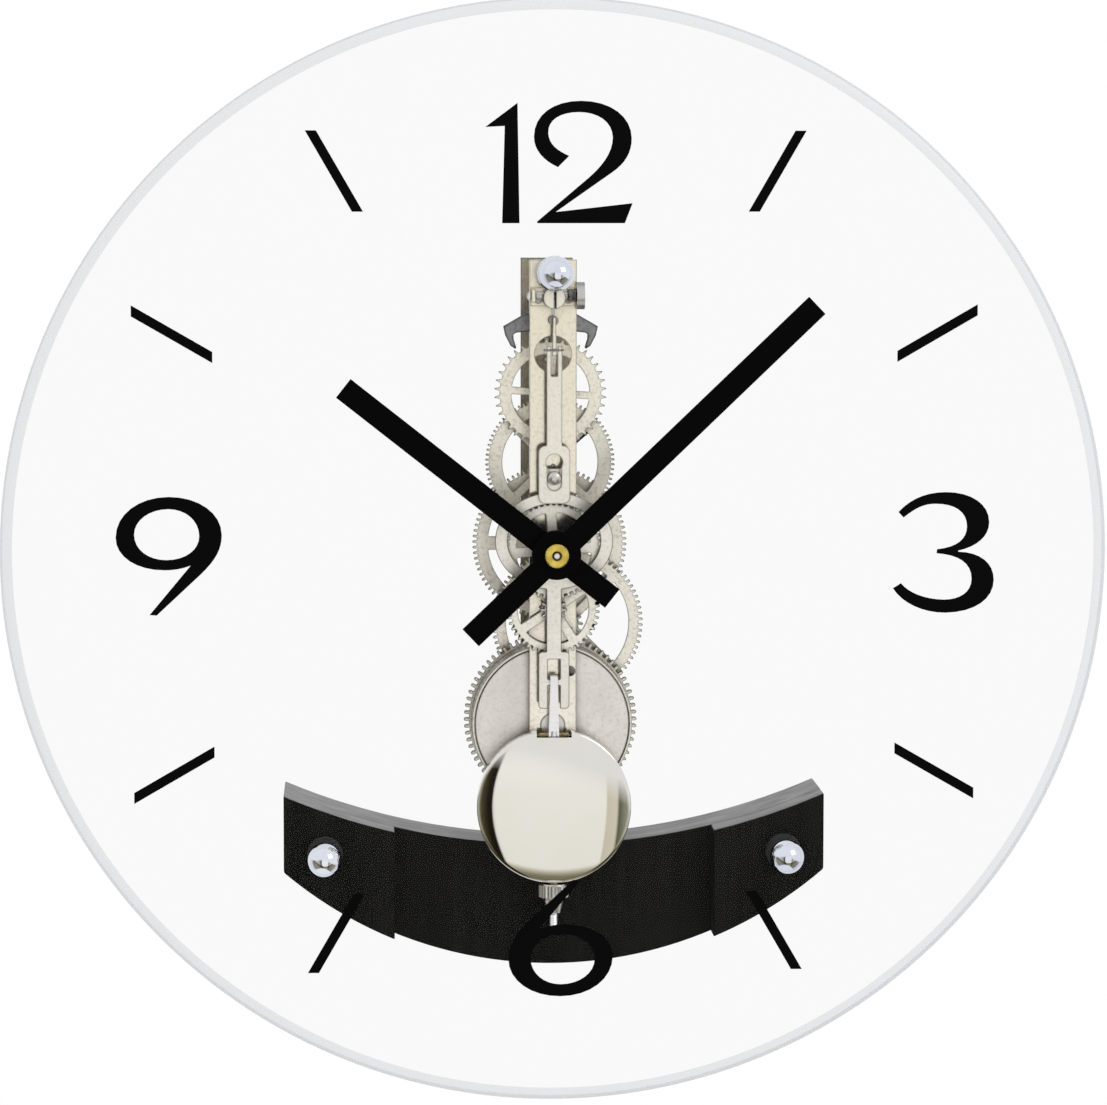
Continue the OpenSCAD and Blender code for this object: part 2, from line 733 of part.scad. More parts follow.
// Front of the bob: a domed cover of even thickness
cover_t = 0.6;
module bob_front() {
    dome = bob_t - 5.2;
    crown_y = rim_y - 0.3 - dome;
    cap_r = (bob_r ^ 2 + dome ^ 2) / (2 * dome);
    sweep = asin(bob_r / cap_r);
    inner_sweep = acos((cap_r - dome - 0.3) / (cap_r - cover_t));
    steps = 12;
    color("silver") from_dial() difference() {
        turned(0, -bob_drop, concat(
            [[bob_r, rim_y]],
            [for (k = [0:steps]) let (a = sweep * (1 - k / steps))
                [cap_r * sin(a), crown_y + cap_r * (1 - cos(a))]],
            [for (k = [0:steps]) let (a = inner_sweep * k / steps)
                [(cap_r - cover_t) * sin(a), crown_y + cap_r - (cap_r - cover_t) * cos(a)]]));
        bob_notch();
    }
}

// Back of the bob: a shallow pan
module bob_back() {
    y0 = rim_y + 0.03;
    y1 = rim_y + 4.9;
    color("silver") from_dial() difference() {
        turned(0, -bob_drop, [[bob_r, y0], [bob_r, y1 - 0.5], [bob_r - 0.5, y1], [0, y1],
            [0, y1 - cover_t], [bob_r - cover_t, y1 - cover_t], [bob_r - cover_t, y0]]);
        bob_notch();
        block([-2.4, y0 - 1, -bob_drop - bob_r - 1], [2.4, y1 - 1, -bob_drop - bob_r + 2]);
    }
}

module bob_notch() {
    block([-5.1, rim_y - 5, -bob_drop + bob_r - 2.2], [5.1, 0, -bob_drop + bob_r + 1]);
}

// Brass guide inside the bob that slides on the rod and stands on the rating nut
module bob_guide() {
    color("goldenrod") from_dial() difference() {
        union() {
            translate([0, rod_y, -bob_drop - bob_r - 0.3]) cylinder(r = 1.7, h = 40.9);
            block([-4.4, rod_y + 0.15, -62], [4.4, rod_y + 0.75, -53.6]);
            block([-4, rod_y, -bob_drop - 3], [4, rim_y + 4.25, -bob_drop + 3]);
        }
        translate([0, rod_y, -120]) cylinder(r = rod_r + 0.2, h = 80);
    }
}

module rating_nut() {
    top = -bob_drop - bob_r - 0.35;
    color("silver") from_dial() translate([0, rod_y, top]) difference() {
        union() {
            translate([0, 0, -0.6])
                cylinder(r1 = rating_nut_r - 0.3, r2 = rating_nut_r - 0.7, h = 0.6);
            translate([0, 0, -3.9]) linear_extrude(3.5) knurl(rating_nut_r, 0.32, 26);
            translate([0, 0, -4.3]) cylinder(r1 = 3.4, r2 = rating_nut_r - 0.4, h = 0.5);
            translate([0, 0, -8.6]) cylinder(r1 = 2.2, r2 = 3.2, h = 4.3);
        }
        translate([0, 0, -10]) cylinder(r = rod_r + 0.16 + fit, h = 12);
    }
}

// Barrel: a drum with the great wheel's teeth on its rear edge
module barrel_drum() {
    color("gainsboro") from_dial() translate([0, 0, -barrel_drop]) {
        difference() {
            union() {
                slab(great_y0, great_y1) polygon(wheel_teeth(great_n, great_m, great_phase));
                bar(0, 0, drum_r, drum_y0, great_y0);
            }
            bar(0, 0, drum_r - 1, drum_y0 - 1, great_y1 - 1);
            bar(0, 0, drum_r - 0.7, drum_y0 - 1, drum_y0 + 1);
            bar(0, 0, 3 + fit, drum_y0, great_y1 + 1);
        }
    }
}

module barrel_lid() {
    color("whitesmoke") from_dial() translate([0, 0, -barrel_drop]) difference() {
        bar(0, 0, drum_r - 0.95, drum_y0 + 0.1, drum_y0 + 0.95);
        bar(0, 0, 3 + fit, drum_y0 - 1, drum_y0 + 2);
    }
}

// Mainspring: a flat spiral of strip inside the drum
spring_turns = 8;
spring_in = 5.4;
spring_out = drum_r - 1.25;
spring_t = 0.5;
function spiral(offset) = [for (k = [0:24 * spring_turns])
    polar(spring_in + offset + (spring_out - spring_t - spring_in) * k / (24 * spring_turns),
        15 * k)];
function backwards(list) = [for (k = [len(list) - 1:-1:0]) list[k]];
module mainspring() {
    color("slategray") from_dial() translate([0, 0, -barrel_drop])
        slab(drum_y0 + 1.4, great_y1 - 1.4)
            polygon(concat(spiral(0), backwards(spiral(spring_t))));
}

module winding_arbor() {
    color("silver") from_dial() translate([0, 0, -barrel_drop]) {
        bar(0, 0, 3.6 - fit, front_plate_y0, front_plate_y1);
        bar(0, 0, 3, front_plate_y1, rear_plate_y0 - 0.1);
        bar(0, 0, 5, drum_y0 + 1.4, great_y1 - 1.4);
        bar(0, 0, 2.5, rear_plate_y0 - 0.1, rear_plate_y1 + 0.1);
        block([-1.6, rear_plate_y1, -1.6], [1.6, -1.2, 1.6]);
    }
}

ratchet_n = 24;
ratchet_phase = 102;
module ratchet_wheel() {
    color("silver") from_dial() translate([0, 0, -barrel_drop]) difference() {
        slab(rear_plate_y1 + 0.2, rear_plate_y1 + 1.5) polygon([
            for (k = [0:ratchet_n - 1], r = [6.5, 5.5])
                polar(r, ratchet_phase + 360 * k / ratchet_n)]);
        block([-1.62, rear_plate_y1 - 1, -1.62], [1.62, 0, 1.62]);
    }
}

// Pawl that holds the ratchet wheel against the mainspring
click_pivot = [-5.9, -44.6];
click_stud = [5.6, -41.2];
module click() {
    nose = [for (p = [[7.4, 73.5], [5.7, 73.3], [6.2, 79.5], [6.9, 86]])
        polar(p[0], p[1]) - [0, barrel_drop]];
    color("dimgray") from_dial() difference() {
        union() {
            bar(click_pivot[0], click_pivot[1], 1.6, rear_plate_y1 + 0.3, rear_plate_y1 + 1.4);
            slab(rear_plate_y1 + 0.3, rear_plate_y1 + 1.4)
                polygon(concat(nose, [click_pivot + [0.9, -1.2], click_pivot + [0.9, 1.2]]));
        }
        bar(click_pivot[0], click_pivot[1], 0.9 + fit, rear_plate_y1, 0);
    }
}

module click_screw() {
    color("silver") from_dial() difference() {
        union() {
            bar(click_pivot[0], click_pivot[1], 0.9, rear_plate_y0 + 0.5, rear_plate_y1 + 1.5);
            bar(click_pivot[0], click_pivot[1], 1.6, rear_plate_y1 + 1.5, rear_plate_y1 + 2.5);
        }
        block([click_pivot[0] - 1.3, rear_plate_y1 + 2.1, click_pivot[1] - 0.2],
            [click_pivot[0] + 1.3, 0, click_pivot[1] + 0.2]);
    }
}

// Bent strip that presses the click down
module click_spring() {
    color("slategray") from_dial() {
        slab(rear_plate_y1 + 0.4, rear_plate_y1 + 1.2) {
            translate(click_stud) circle(1.3);
            polygon([[4.5, -41], [4.4, -40.6], [0, -41.4], [-4.6, -42.85], [-4.5, -43.15],
                [0, -41.75]]);
        }
        bar(click_stud[0], click_stud[1], 0.6, rear_plate_y0 + 1, rear_plate_y1 + 0.4);
        bar(click_stud[0], click_stud[1], 1, rear_plate_y1 + 1.2, rear_plate_y1 + 1.8);
    }
}

module second_wheel() {
    color("antiquewhite") from_dial() translate([second_x, 0, -second_drop])
        slab(second_y0, second_y0 + wheel_t)
            spoked(wheel_teeth(second_n, second_m, second_phase), 18.3, 3.4, 0.87, 4, 2.6, 45);
}

module second_arbor() {
    color("silver") from_dial() {
        pinion_arbor(second_x, -second_drop, pinion_leaves(second_pinion_n, great_m, 0),
            great_y0 - 0.6, great_y1 + 0.5, 0.85, 0.5);
        bar(second_x, -second_drop, 2.2, great_y1 + 0.5, second_y0);
    }
}

module centre_wheel() {
    color("antiquewhite") from_dial() difference() {
        union() {
            slab(centre_y0, centre_y0 + wheel_t)
                spoked(wheel_teeth(centre_n, centre_m, centre_phase), 18.4, 4, 1, 4, 4, 0);
            bar(0, 0, 2.6, centre_y0, centre_y0 + 2.6);
        }
        bar(0, 0, 1.32, centre_y0 - 1, centre_y0 + 3);
    }
}

module centre_arbor() {
    color("silver") from_dial() {
        slab(second_y0 - 0.4, second_y0 + 1.6)
            polygon(pinion_leaves(centre_pinion_n, second_m, 0));
        bar(0, 0, 1.3, front_plate_y0 - 0.6, rear_plate_y0 - 0.15);
        bar(0, 0, 0.7, rear_plate_y0 - 0.2, pivot_end);
        bar(0, 0, 0.9, nut_y0 + 0.3, front_plate_y0);
    }
}

// Pinion on a pipe that is held on the centre arbor by friction
module cannon_pinion() {
    color("silver") from_dial() difference() {
        union() {
            slab(front_plate_y0 - 2.5, front_plate_y0 - 0.7)
                polygon(pinion_leaves(cannon_n, minute_m, 0));
            bar(0, 0, 1.7, minute_hand_y0 + 0.1, front_plate_y0 - 2.4);
        }
        bar(0, 0, 0.95, minute_hand_y0, front_plate_y0);
    }
}

module minute_hand() {
    color("black") from_dial()
        hand(minute_len, minute_tail, minute_angle, 1.72, minute_hand_y0);
}

module hour_hand() {
    color("black") from_dial()
        hand(hour_len, hour_tail, hour_angle, 2.72, hour_hand_y0);
}

module hand_nut() {
    color("gold") from_dial() difference() {
        turned(0, 0, [[0.95, minute_hand_y0], [3.46, minute_hand_y0], [3.46, nut_y0 + 0.4],
            [3.1, nut_y0], [1.5, nut_y0], [0.95, nut_y0 + 0.7]]);
        for (k = [0:23])
            rotate([0, 15 * k, 0]) bar(3.56, 0, 0.22, nut_y0 - 1, minute_hand_y0 + 1);
    }
}

// Wheel and pinion that turn together on a post in front of the front plate
module minute_wheel() {
    color("antiquewhite") from_dial() translate([0, 0, -minute_drop]) difference() {
        union() {
            slab(minute_wheel_y0, minute_wheel_y1)
                spoked(wheel_teeth(minute_n, minute_m, minute_phase), 10.4, 3.6, 0.84, 4, 2.8, 33);
            slab(hour_wheel_y0 - 0.15, minute_wheel_y0)
                polygon(pinion_leaves(minute_pinion_n, hour_m, 0));
        }
        bar(0, 0, 0.84, hour_wheel_y0 - 1, minute_wheel_y1 + 1);
    }
}

module minute_wheel_post() {
    color("silver") from_dial() {
        bar(0, -minute_drop, 0.8, hour_wheel_y0 - 0.3, front_plate_y1);
        bar(0, -minute_drop, 1.3, hour_wheel_y0 - 0.75, hour_wheel_y0 - 0.25);
    }
}

module hour_wheel() {
    color("antiquewhite") from_dial() difference() {
        union() {
            slab(hour_wheel_y0, hour_wheel_y1)
                spoked(wheel_teeth(hour_n, hour_m, hour_phase), 11, 4.8, 1.7, 4, 3, 4);
            bar(0, 0, 2.7, hour_hand_y0 + 0.1, hour_wheel_y0);
        }
        bar(0, 0, 1.75, hour_hand_y0 - 1, hour_wheel_y1 + 1);
    }
}

module third_wheel() {
    color("antiquewhite") from_dial() translate([0, 0, third_rise])
        slab(third_y0, third_y0 + wheel_t)
            spoked(wheel_teeth(third_n, third_m, third_phase), 14.2, 3, 0.82, 4, 2.6, 45);
}

module third_arbor() {
    color("silver") from_dial() {
        pinion_arbor(0, third_rise, pinion_leaves(third_pinion_n, centre_m, 0),
            centre_y0 - 0.6, centre_y0 + 1.8, 0.8, 0.5);
        bar(0, third_rise, 1.9, third_y0 - 1.2, third_y0);
    }
}

// Escape wheel: forty slim pointed teeth
module escape_wheel() {
    color("antiquewhite") from_dial() translate([0, 0, escape_rise])
        slab(escape_y0, escape_y0 + wheel_t)
            spoked([for (k = [0:escape_n - 1], p = [[15.1, -2.2], [escape_tip_r, -0.45],
                [escape_tip_r, 0.45], [15.1, 2.2]]) polar(p[0], 360 * (k + 0.5) / escape_n + p[1])],
                11.6, 2.8, 0.82, 4, 2.2, -4);
}

module escape_arbor() {
    color("silver") from_dial() {
        pinion_arbor(0, escape_rise, pinion_leaves(escape_pinion_n, third_m, 0),
            third_y0 - 0.5, third_y0 + 1.8, 0.8, 0.5);
        bar(0, escape_rise, 1.9, escape_y0 - 1.4, escape_y0);
    }
}

glass_dial();
hour_marks();
numerals();
ball_nuts();
ball_studs();
glass_washers();
stud_sleeve();
arch_board();
left_end_block();
right_end_block();
spacer_block();
block_screws();
wall_pads();
plate_screws();
front_plate();
rear_plate();
pillars();
pillar_screws();
hanger_strap();
hanger_screws();
beat_bridge();
suspension_post();
suspension_spring();
beat_screw();
anchor();
anchor_arbor();
crutch();
fork_pin();
pendulum_leader();
pendulum_loop();
loop_stud();
pendulum_rod();
bob_front();
bob_back();
bob_guide();
rating_nut();
barrel_drum();
barrel_lid();
mainspring();
winding_arbor();
ratchet_wheel();
click();
click_screw();
click_spring();
second_wheel();
second_arbor();
centre_wheel();
centre_arbor();
cannon_pinion();
minute_hand();
hand_nut();
minute_wheel();
minute_wheel_post();
hour_wheel();
hour_hand();
third_wheel();
third_arbor();
escape_wheel();
escape_arbor();
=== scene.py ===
"""A skeleton wall regulator with a glass dial: its finishes, fine shapes, light and camera.

Lengths are millimetres round the dial's centre, as the drawings have them, unless a comment says
otherwise: x to the right, y towards the wall, z up. place() turns them into the frame's metres.
"""
import json
import math

import bmesh
import bpy
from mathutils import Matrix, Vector

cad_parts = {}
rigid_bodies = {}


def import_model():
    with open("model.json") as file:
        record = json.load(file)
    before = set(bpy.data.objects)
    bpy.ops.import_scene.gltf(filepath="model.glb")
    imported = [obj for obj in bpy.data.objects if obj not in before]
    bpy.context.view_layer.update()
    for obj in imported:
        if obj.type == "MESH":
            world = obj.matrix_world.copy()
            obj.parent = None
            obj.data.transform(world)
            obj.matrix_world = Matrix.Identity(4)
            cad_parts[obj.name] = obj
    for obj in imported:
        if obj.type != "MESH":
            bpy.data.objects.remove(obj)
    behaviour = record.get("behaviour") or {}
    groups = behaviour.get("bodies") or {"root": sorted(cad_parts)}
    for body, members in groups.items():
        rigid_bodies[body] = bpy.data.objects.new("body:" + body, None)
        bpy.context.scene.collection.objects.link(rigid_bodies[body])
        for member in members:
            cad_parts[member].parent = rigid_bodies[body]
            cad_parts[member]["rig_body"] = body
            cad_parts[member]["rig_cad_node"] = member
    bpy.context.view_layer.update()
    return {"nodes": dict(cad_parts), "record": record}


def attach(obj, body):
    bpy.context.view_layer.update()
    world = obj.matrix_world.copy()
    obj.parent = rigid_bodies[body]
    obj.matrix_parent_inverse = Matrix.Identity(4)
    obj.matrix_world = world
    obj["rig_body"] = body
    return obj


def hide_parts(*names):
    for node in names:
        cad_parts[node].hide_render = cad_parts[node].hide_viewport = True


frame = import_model()

MM = 0.001
DIAL_DROP = 78.0            # the dial's centre hangs this far below the hanging hole
DIAL_R = 160.0
DIAL_BORE = 4.2             # radius of the hole for the hands' axis
GLASS_FRONT = -62.0
GLASS_BACK = -58.0
GROUND_W = 3.6              # width of the ground bevel
GROUND_DEEP = 1.2
STUDS = [(-67.0, -88.0), (67.0, -88.0), (0.0, 80.9)]
STUD_HOLE = 2.5
BALL_R = 5.0
BALL_OUT = 4.4              # from the glass to the ball's centre
BOB_Z = -75.0
BOB_R = 22.6
BOB_RIM = -53.5             # y of the front cover's rim, and of its crown
BOB_CROWN = -56.5
BOB_DOME = 2.7
BOB_DEEP = 4.9              # depth of the pan behind the rim
BARREL_Z = -52.2
WARM_FROM, WARM_TO = -30.0, 75.0      # heights between which the nickel turns more golden

WELD = 0.000002             # metres between points that are merged
FLAT_TURN = 0.4             # degrees between faces that are joined
SMOOTH_TURN = 38.0          # degrees up to which a turn is shaded smooth
SHARP_TURN = 32.0           # degrees from which an edge is broken

# The photograph's framing, in metres: its camera faced the dial squarely, from above and the left
CAMERA_SPOT = (-0.0575, -1.112, 0.024)
CAMERA_AIM = (-0.0151, -0.062, -0.0515)
CAMERA_LENS = 118.9
CAMERA_SHIFT = (0.045, -0.081)
KEY_SPOT, KEY_AIM = (1.25, -1.35, 1.0), (0, 0, -0.08)
FLOOR_SPOT, FLOOR_SIZE = (0, -1.0, -1.0), 6

BODY_OF = {node: body
           for body, members in frame["record"]["behaviour"]["bodies"].items()
           for node in members}
SLOT_OF = {part["node"]: part["material_slot"] for part in frame["record"]["subparts"]}


def place(x, y, z):
    """A point of the drawings in the frame's metres."""
    return Vector((x * MM, y * MM, (z - DIAL_DROP) * MM))


# ---------------------------------------------------------------- working by hand

def only(piece):
    """Leaves nothing selected but this piece."""
    if bpy.context.object and bpy.context.object.mode != "OBJECT":
        bpy.ops.object.mode_set(mode="OBJECT")
    bpy.ops.object.select_all(action="DESELECT")
    piece.select_set(True)
    bpy.context.view_layer.objects.active = piece


def open_up(piece, kind="VERT"):
    """Goes into edit mode with nothing selected."""
    only(piece)
    bpy.ops.object.mode_set(mode="EDIT")
    bpy.ops.mesh.select_mode(type=kind)
    bpy.ops.mesh.select_all(action="DESELECT")


def close_up():
    """Leaves edit mode."""
    bpy.ops.object.mode_set(mode="OBJECT")


def modify(piece, kind, **settings):
    """Adds a modifier, sets it and applies it."""
    only(piece)
    bpy.ops.object.modifier_add(type=kind)
    modifier = piece.modifiers[-1]
    for name, value in settings.items():
        setattr(modifier, name, value)
    bpy.ops.object.modifier_apply(modifier=modifier.name)


def even_shade(piece, turn=SMOOTH_TURN):
    """Smooth over gentle turns, crisp at the corners, with flat faces kept flat."""
    only(piece)
    bpy.ops.object.shade_smooth_by_angle(angle=math.radians(turn))
    modify(piece, "WEIGHTED_NORMAL", keep_sharp=True, weight=60)


def break_edges(piece, width):
    """Breaks the sharp edges by a small round, as a file or a tumbler does."""
    modify(piece, "BEVEL", width=width * MM, segments=2, limit_method="ANGLE",
           angle_limit=math.radians(SHARP_TURN), use_clamp_overlap=True,
           miter_outer="MITER_ARC")


def settle(piece, body, material_slot, *nodes):
    """Lets the piece ride on its body, in the place of the nodes that it stands for."""
    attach(piece, body)
    if nodes:
        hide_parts(*nodes)


def wear(piece, *materials):
    """Gives the piece its finishes."""
    piece.data.materials.clear()
    for material in materials:
        piece.data.materials.append(material)


def add_finish(piece, material, belongs):
    """Adds a second finish and gives it to the faces for which belongs(face) is true."""
    piece.data.materials.append(material)
    for face in piece.data.polygons:
        if belongs(face):
            face.material_index = 1


def copy_of(node, edge, turn, windows):
    """A copy of a drawn solid with clean faces and broken edges."""
    piece = frame["nodes"][node].copy()
    piece.data = piece.data.copy()
    piece.name = node + "_made"
    bpy.context.scene.collection.objects.link(piece)
    piece.parent = None
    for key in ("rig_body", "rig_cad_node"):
        if key in piece:
            del piece[key]
    open_up(piece)
    bpy.ops.mesh.select_all(action="SELECT")
    bpy.ops.mesh.remove_doubles(threshold=WELD)
    bpy.ops.mesh.dissolve_limited(angle_limit=math.radians(FLAT_TURN))
    close_up()
    if windows:
        round_the_windows(piece, *windows)
    if edge:
        break_edges(piece, edge)
    even_shade(piece, turn)
    return piece


def round_the_windows(piece, x, z, reach, radius):
    """Rounds the upright corners of a wheel's windows, all those within reach of its axis."""
    open_up(piece, "EDGE")
    mesh = bmesh.from_edit_mesh(piece.data)
    axis = place(x, 0, z)
    for edge in mesh.edges:
        a, b = (v.co for v in edge.verts)
        upright = abs(a.x - b.x) < 1e-6 and abs(a.z - b.z) < 1e-6
        near = math.hypot(a.x - axis.x, a.z - axis.z) < reach * MM
        if upright and near and edge.is_manifold and edge.calc_face_angle() > 0.6:
            edge.select_set(True)
    bmesh.update_edit_mesh(piece.data)
    bpy.ops.mesh.bevel(offset=radius * MM, segments=5, affect="EDGES", clamp_overlap=True)
    close_up()


def spun(name, outline, x, z, steps):
    """A turned piece: its outline, (radius, y) points, is drawn and spun about its axis."""
    start = place(x + outline[0][0], outline[0][1], z)
    bpy.ops.object.select_all(action="DESELECT")
    bpy.ops.mesh.primitive_plane_add(size=MM, location=start)
    piece = bpy.context.object
    piece.name = name
    bpy.ops.object.transform_apply(location=True, rotation=True, scale=True)
    bpy.ops.object.mode_set(mode="EDIT")
    bpy.ops.mesh.select_all(action="SELECT")
    bpy.ops.mesh.merge(type="CENTER")
    for a, b in zip(outline, outline[1:]):
        bpy.ops.mesh.extrude_vertices_move(
            TRANSFORM_OT_translate={"value": ((b[0] - a[0]) * MM, (b[1] - a[1]) * MM, 0)})
    bpy.ops.mesh.select_all(action="SELECT")
    bpy.ops.mesh.spin(steps=steps, angle=2 * math.pi, center=place(x, 0, z), axis=(0, 1, 0))
    bpy.ops.mesh.select_all(action="SELECT")
    bpy.ops.mesh.remove_doubles(threshold=WELD)
    bpy.ops.mesh.normals_make_consistent(inside=False)
    close_up()
    even_shade(piece)
    return piece


def cut_away(piece, cutters):
    """Takes the cutters' shapes out of the piece and throws them away."""
    for cutter in cutters:
        modify(piece, "BOOLEAN", operation="DIFFERENCE", object=cutter, solver="EXACT")
        bpy.data.objects.remove(cutter)


def rod_cutter(x, z, radius, y0, y1):
    """A round bar along y to cut a hole with."""
    bpy.ops.object.select_all(action="DESELECT")
    bpy.ops.mesh.primitive_cylinder_add(vertices=48, radius=radius * MM, depth=(y1 - y0) * MM,
                                        location=place(x, (y0 + y1) / 2, z),
                                        rotation=(math.pi / 2, 0, 0))
    bpy.ops.object.transform_apply(location=True, rotation=True, scale=True)
    return bpy.context.object


def box_cutter(low, high):
    """A block between two corners to cut with."""
    middle = [(a + b) / 2 for a, b in zip(low, high)]
    bpy.ops.object.select_all(action="DESELECT")
    bpy.ops.mesh.primitive_cube_add(size=1, location=place(*middle),
                                    scale=[(b - a) * MM for a, b in zip(low, high)])
    bpy.ops.object.transform_apply(location=True, rotation=True, scale=True)
    return bpy.context.object


# ---------------------------------------------------------------- finishes

class Finish:
    """A material and short ways to add its nodes."""

    def __init__(self, name):
        self.material = bpy.data.materials.new(name)
        self.material.use_nodes = True
        self.nodes = self.material.node_tree.nodes
        self.links = self.material.node_tree.links
        self.shader = self.nodes["Principled BSDF"]
        self.out = self.nodes["Material Output"]

    def add(self, kind, **settings):
        """Adds a node with its settings."""
        node = self.nodes.new(kind)
        for name, value in settings.items():
            setattr(node, name, value)
        return node

    def join(self, a, b):
        """Links two sockets."""
        self.links.new(a, b)

    def where(self, centre=(0, 0, 0), scale=(1, 1, 1)):
        """Places on the piece, moved and stretched."""
        coordinates = self.add("ShaderNodeTexCoord")
        mapping = self.add("ShaderNodeMapping")
        mapping.inputs["Location"].default_value = [-c * s for c, s in zip(centre, scale)]
        mapping.inputs["Scale"].default_value = scale
        self.join(coordinates.outputs["Object"], mapping.inputs["Vector"])
        return mapping.outputs["Vector"]

    def noise(self, scale, detail=3.0, stretch=(1, 1, 1), vector=None, rough=0.5):
        """Soft random values, scale in spots per metre."""
        noise = self.add("ShaderNodeTexNoise")
        noise.inputs["Scale"].default_value = scale
        noise.inputs["Detail"].default_value = detail
        noise.inputs["Roughness"].default_value = rough
        self.join(vector or self.where(scale=stretch), noise.inputs["Vector"])
        return noise.outputs["Fac"]

    def spread(self, value, low, high, start=0.3, end=0.7):
        """Spreads a value that runs from start to end between two others."""
        spread = self.add("ShaderNodeMapRange")
        for name, number in (("From Min", start), ("From Max", end), ("To Min", low),
                             ("To Max", high)):
            spread.inputs[name].default_value = number
        self.join(value, spread.inputs["Value"])
        return spread.outputs["Result"]

    def blend(self, value, a, b):
        """A colour between two others."""
        mix = self.add("ShaderNodeMix", data_type="RGBA")
        for socket, colour in ((mix.inputs[6], a), (mix.inputs[7], b)):
            if isinstance(colour, (tuple, list)):
                socket.default_value = (*colour, 1)
            else:
                self.join(colour, socket)
        self.join(value, mix.inputs["Factor"])
        return mix.outputs[2]

    def recess(self, reach, start=0.2, end=0.75):
        """0 far in a corner or close behind another piece, 1 in the open: the mask for painted
        shade.
        """
        depth = self.add("ShaderNodeAmbientOcclusion", samples=8)
        depth.inputs["Distance"].default_value = reach * MM
        return self.spread(depth.outputs["AO"], 0, 1, start, end)

    def outline(self, reach, start=0.5, end=0.93):
        """0 on the very edge of a face, 1 from reach millimetres inwards: the mask for a painted
        shade line.
        """
        near = self.add("ShaderNodeAmbientOcclusion", samples=8, inside=True, only_local=True)
        near.inputs["Distance"].default_value = reach * MM
        return self.spread(near.outputs["AO"], 0, 1, start, end)

    def bump(self, height, strength, distance):
        """Raises the surface a little where height is high, distance in metres."""
        bump = self.add("ShaderNodeBump")
        bump.inputs["Strength"].default_value = strength
        bump.inputs["Distance"].default_value = distance
        self.join(height, bump.inputs["Height"])
        self.join(bump.outputs["Normal"], self.shader.inputs["Normal"])

    def rings(self, x, z, scale):
        """Fine turning marks in rings about an axis along y."""
        vector = self.where(centre=(x * MM, 0, (z - DIAL_DROP) * MM), scale=(1, 0, 1))
        length = self.add("ShaderNodeVectorMath", operation="LENGTH")
        self.join(vector, length.inputs[0])
        combine = self.add("ShaderNodeCombineXYZ")
        self.join(length.outputs["Value"], combine.inputs["X"])
        return self.noise(scale, 2.0, vector=combine.outputs["Vector"])


def metal(name, colour, shade, rough, grain="z", grain_size=9000.0, depth=0.12, clouds=60.0,
          spread=0.06, centre=None, corner_shade=None, reach=6.0, recess=(0.2, 0.75), blotch=0.0,
          edge=0.0, edge_shade=0.3, warm=None):
    """Nickel, steel or brass with fine marks along one axis, or in rings about a centre.

    Its colour for corners and for what lies close behind other pieces is painted shade; blotch is
    how far fine stains darken it, edge the width of a painted shade line along its edges, and
    warm its colour high up on the clock.
    """
    f = Finish(name)
    f.shader.inputs["Metallic"].default_value = 1.0
    if centre:
        marks = f.rings(centre[0], centre[1], grain_size)
    else:
        long_way = {"x": (0.02, 1, 1), "z": (1, 1, 0.02), "": (1, 1, 1)}[grain]
        marks = f.noise(grain_size, 2.0, long_way)
    patches = f.noise(clouds, 3.0, rough=0.6)
    tone = f.blend(f.spread(patches, 0, 1), colour, shade)
    if warm:
        split = f.add("ShaderNodeSeparateXYZ")
        f.join(f.where(), split.inputs[0])
        low, high = ((z - DIAL_DROP) * MM for z in (WARM_FROM, WARM_TO))
        tone = f.blend(f.spread(split.outputs["Z"], 0, 1, low, high), tone, warm)
    if blotch:
        stains = f.spread(f.noise(900.0, 5.0, rough=0.65), 0, 1, 0.5, 0.72)
        tone = f.blend(stains, tone, [c * (1 - blotch) for c in shade])
    # Painted shade: a dark line along the edges
    if edge:
        tone = f.blend(f.outline(edge), [c * edge_shade for c in shade], tone)
    # Painted shade: darker in corners and close behind other pieces
    if corner_shade:
        tone = f.blend(f.recess(reach, *recess), corner_shade, tone)
    f.join(tone, f.shader.inputs["Base Color"])
    f.join(f.spread(marks, rough - spread, rough + spread), f.shader.inputs["Roughness"])
    f.bump(marks, depth, 0.00002)
    return f.material


def glossy_metal(name, colour, shade, rough):
    """Polished metal with the faintest wipe marks."""
    f = Finish(name)
    f.shader.inputs["Metallic"].default_value = 1.0
    patches = f.noise(90.0, 4.0, rough=0.6)
    f.join(f.blend(f.spread(patches, 0, 1), colour, shade), f.shader.inputs["Base Color"])
    f.join(f.spread(f.noise(400.0, 3.0), rough * 0.6, rough * 1.5), f.shader.inputs["Roughness"])
    return f.material


def plain_coat(name, colour, rough, shine, speck=12000.0):
    """Printing ink, satin paint, rubber or plastic: one colour with a faint tooth."""
    f = Finish(name)
    f.shader.inputs["Specular IOR Level"].default_value = shine
    tooth = f.noise(speck, 2.0)
    f.join(f.blend(tooth, colour, [c * 1.6 for c in colour]), f.shader.inputs["Base Color"])
    f.join(f.spread(tooth, rough - 0.06, rough + 0.06), f.shader.inputs["Roughness"])
    f.bump(tooth, 0.08, 0.00001)
    return f.material


def lacquered_wood(name, colour, streak, rough, grain, shine):
    """Black stained wood under thin lacquer, with its grain along one axis."""
    f = Finish(name)
    f.shader.inputs["Specular IOR Level"].default_value = shine
    long_way = {"x": (0.04, 1, 1), "z": (1, 1, 0.03)}[grain]
    pores = f.noise(2200.0, 4.0, long_way, rough=0.7)
    bands = f.noise(300.0, 4.0, long_way)
    both = f.add("ShaderNodeMath", operation="MULTIPLY")
    f.join(pores, both.inputs[0])
    f.join(bands, both.inputs[1])
    f.join(f.blend(f.spread(both.outputs[0], 0, 1, 0.15, 0.42), colour, streak),
           f.shader.inputs["Base Color"])
    f.join(f.spread(pores, rough - 0.08, rough + 0.12), f.shader.inputs["Roughness"])
    f.bump(pores, 0.25, 0.00006)
    return f.material


